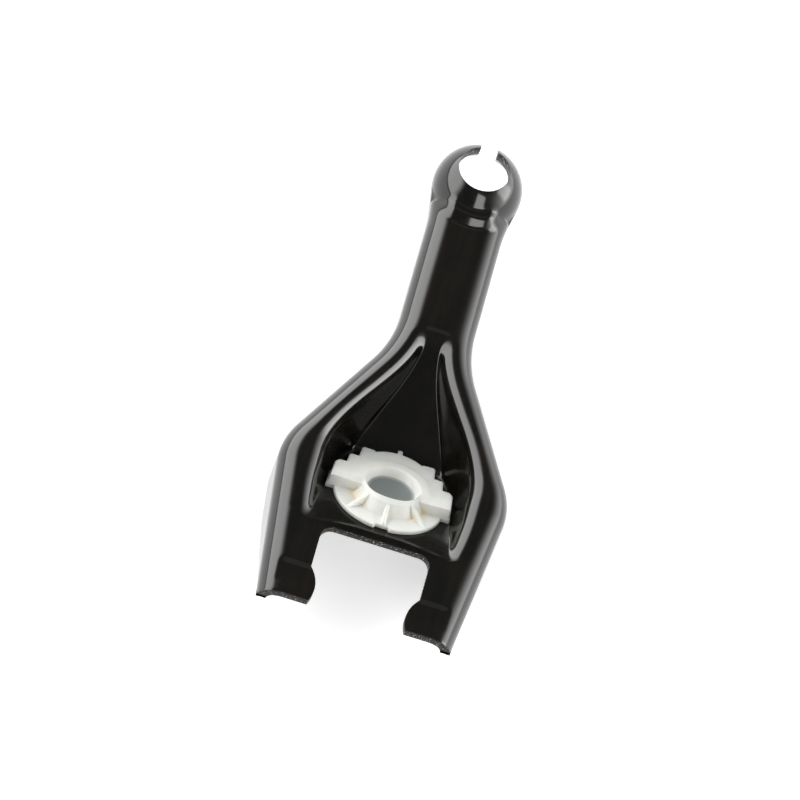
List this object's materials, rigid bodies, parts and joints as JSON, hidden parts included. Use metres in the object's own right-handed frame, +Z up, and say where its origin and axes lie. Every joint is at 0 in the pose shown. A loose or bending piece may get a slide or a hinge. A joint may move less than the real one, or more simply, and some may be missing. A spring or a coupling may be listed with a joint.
{
  "type": "clutch fork",
  "caption": "Pressed steel clutch release fork with a nylon ball seat in its web, a slotted cable dome at the arm's end and two bearing pads on its prongs.",
  "frame": {"origin": "under the middle of the fork, level with the lowest flange edges it rests on", "axes": "+Y from the prongs along the arm to the cable dome, +X across, +Z up out of the side that faces the ball stud"},
  "size_m": [0.083, 0.1972, 0.0356],
  "materials": {
    "black_paint": "gloss black paint over pressed steel",
    "white_nylon": "natural moulded nylon, slightly translucent"
  },
  "bodies": {
    "root": {"fork_body": "black_paint", "pivot_bush": "white_nylon"}
  },
  "joints": []
}
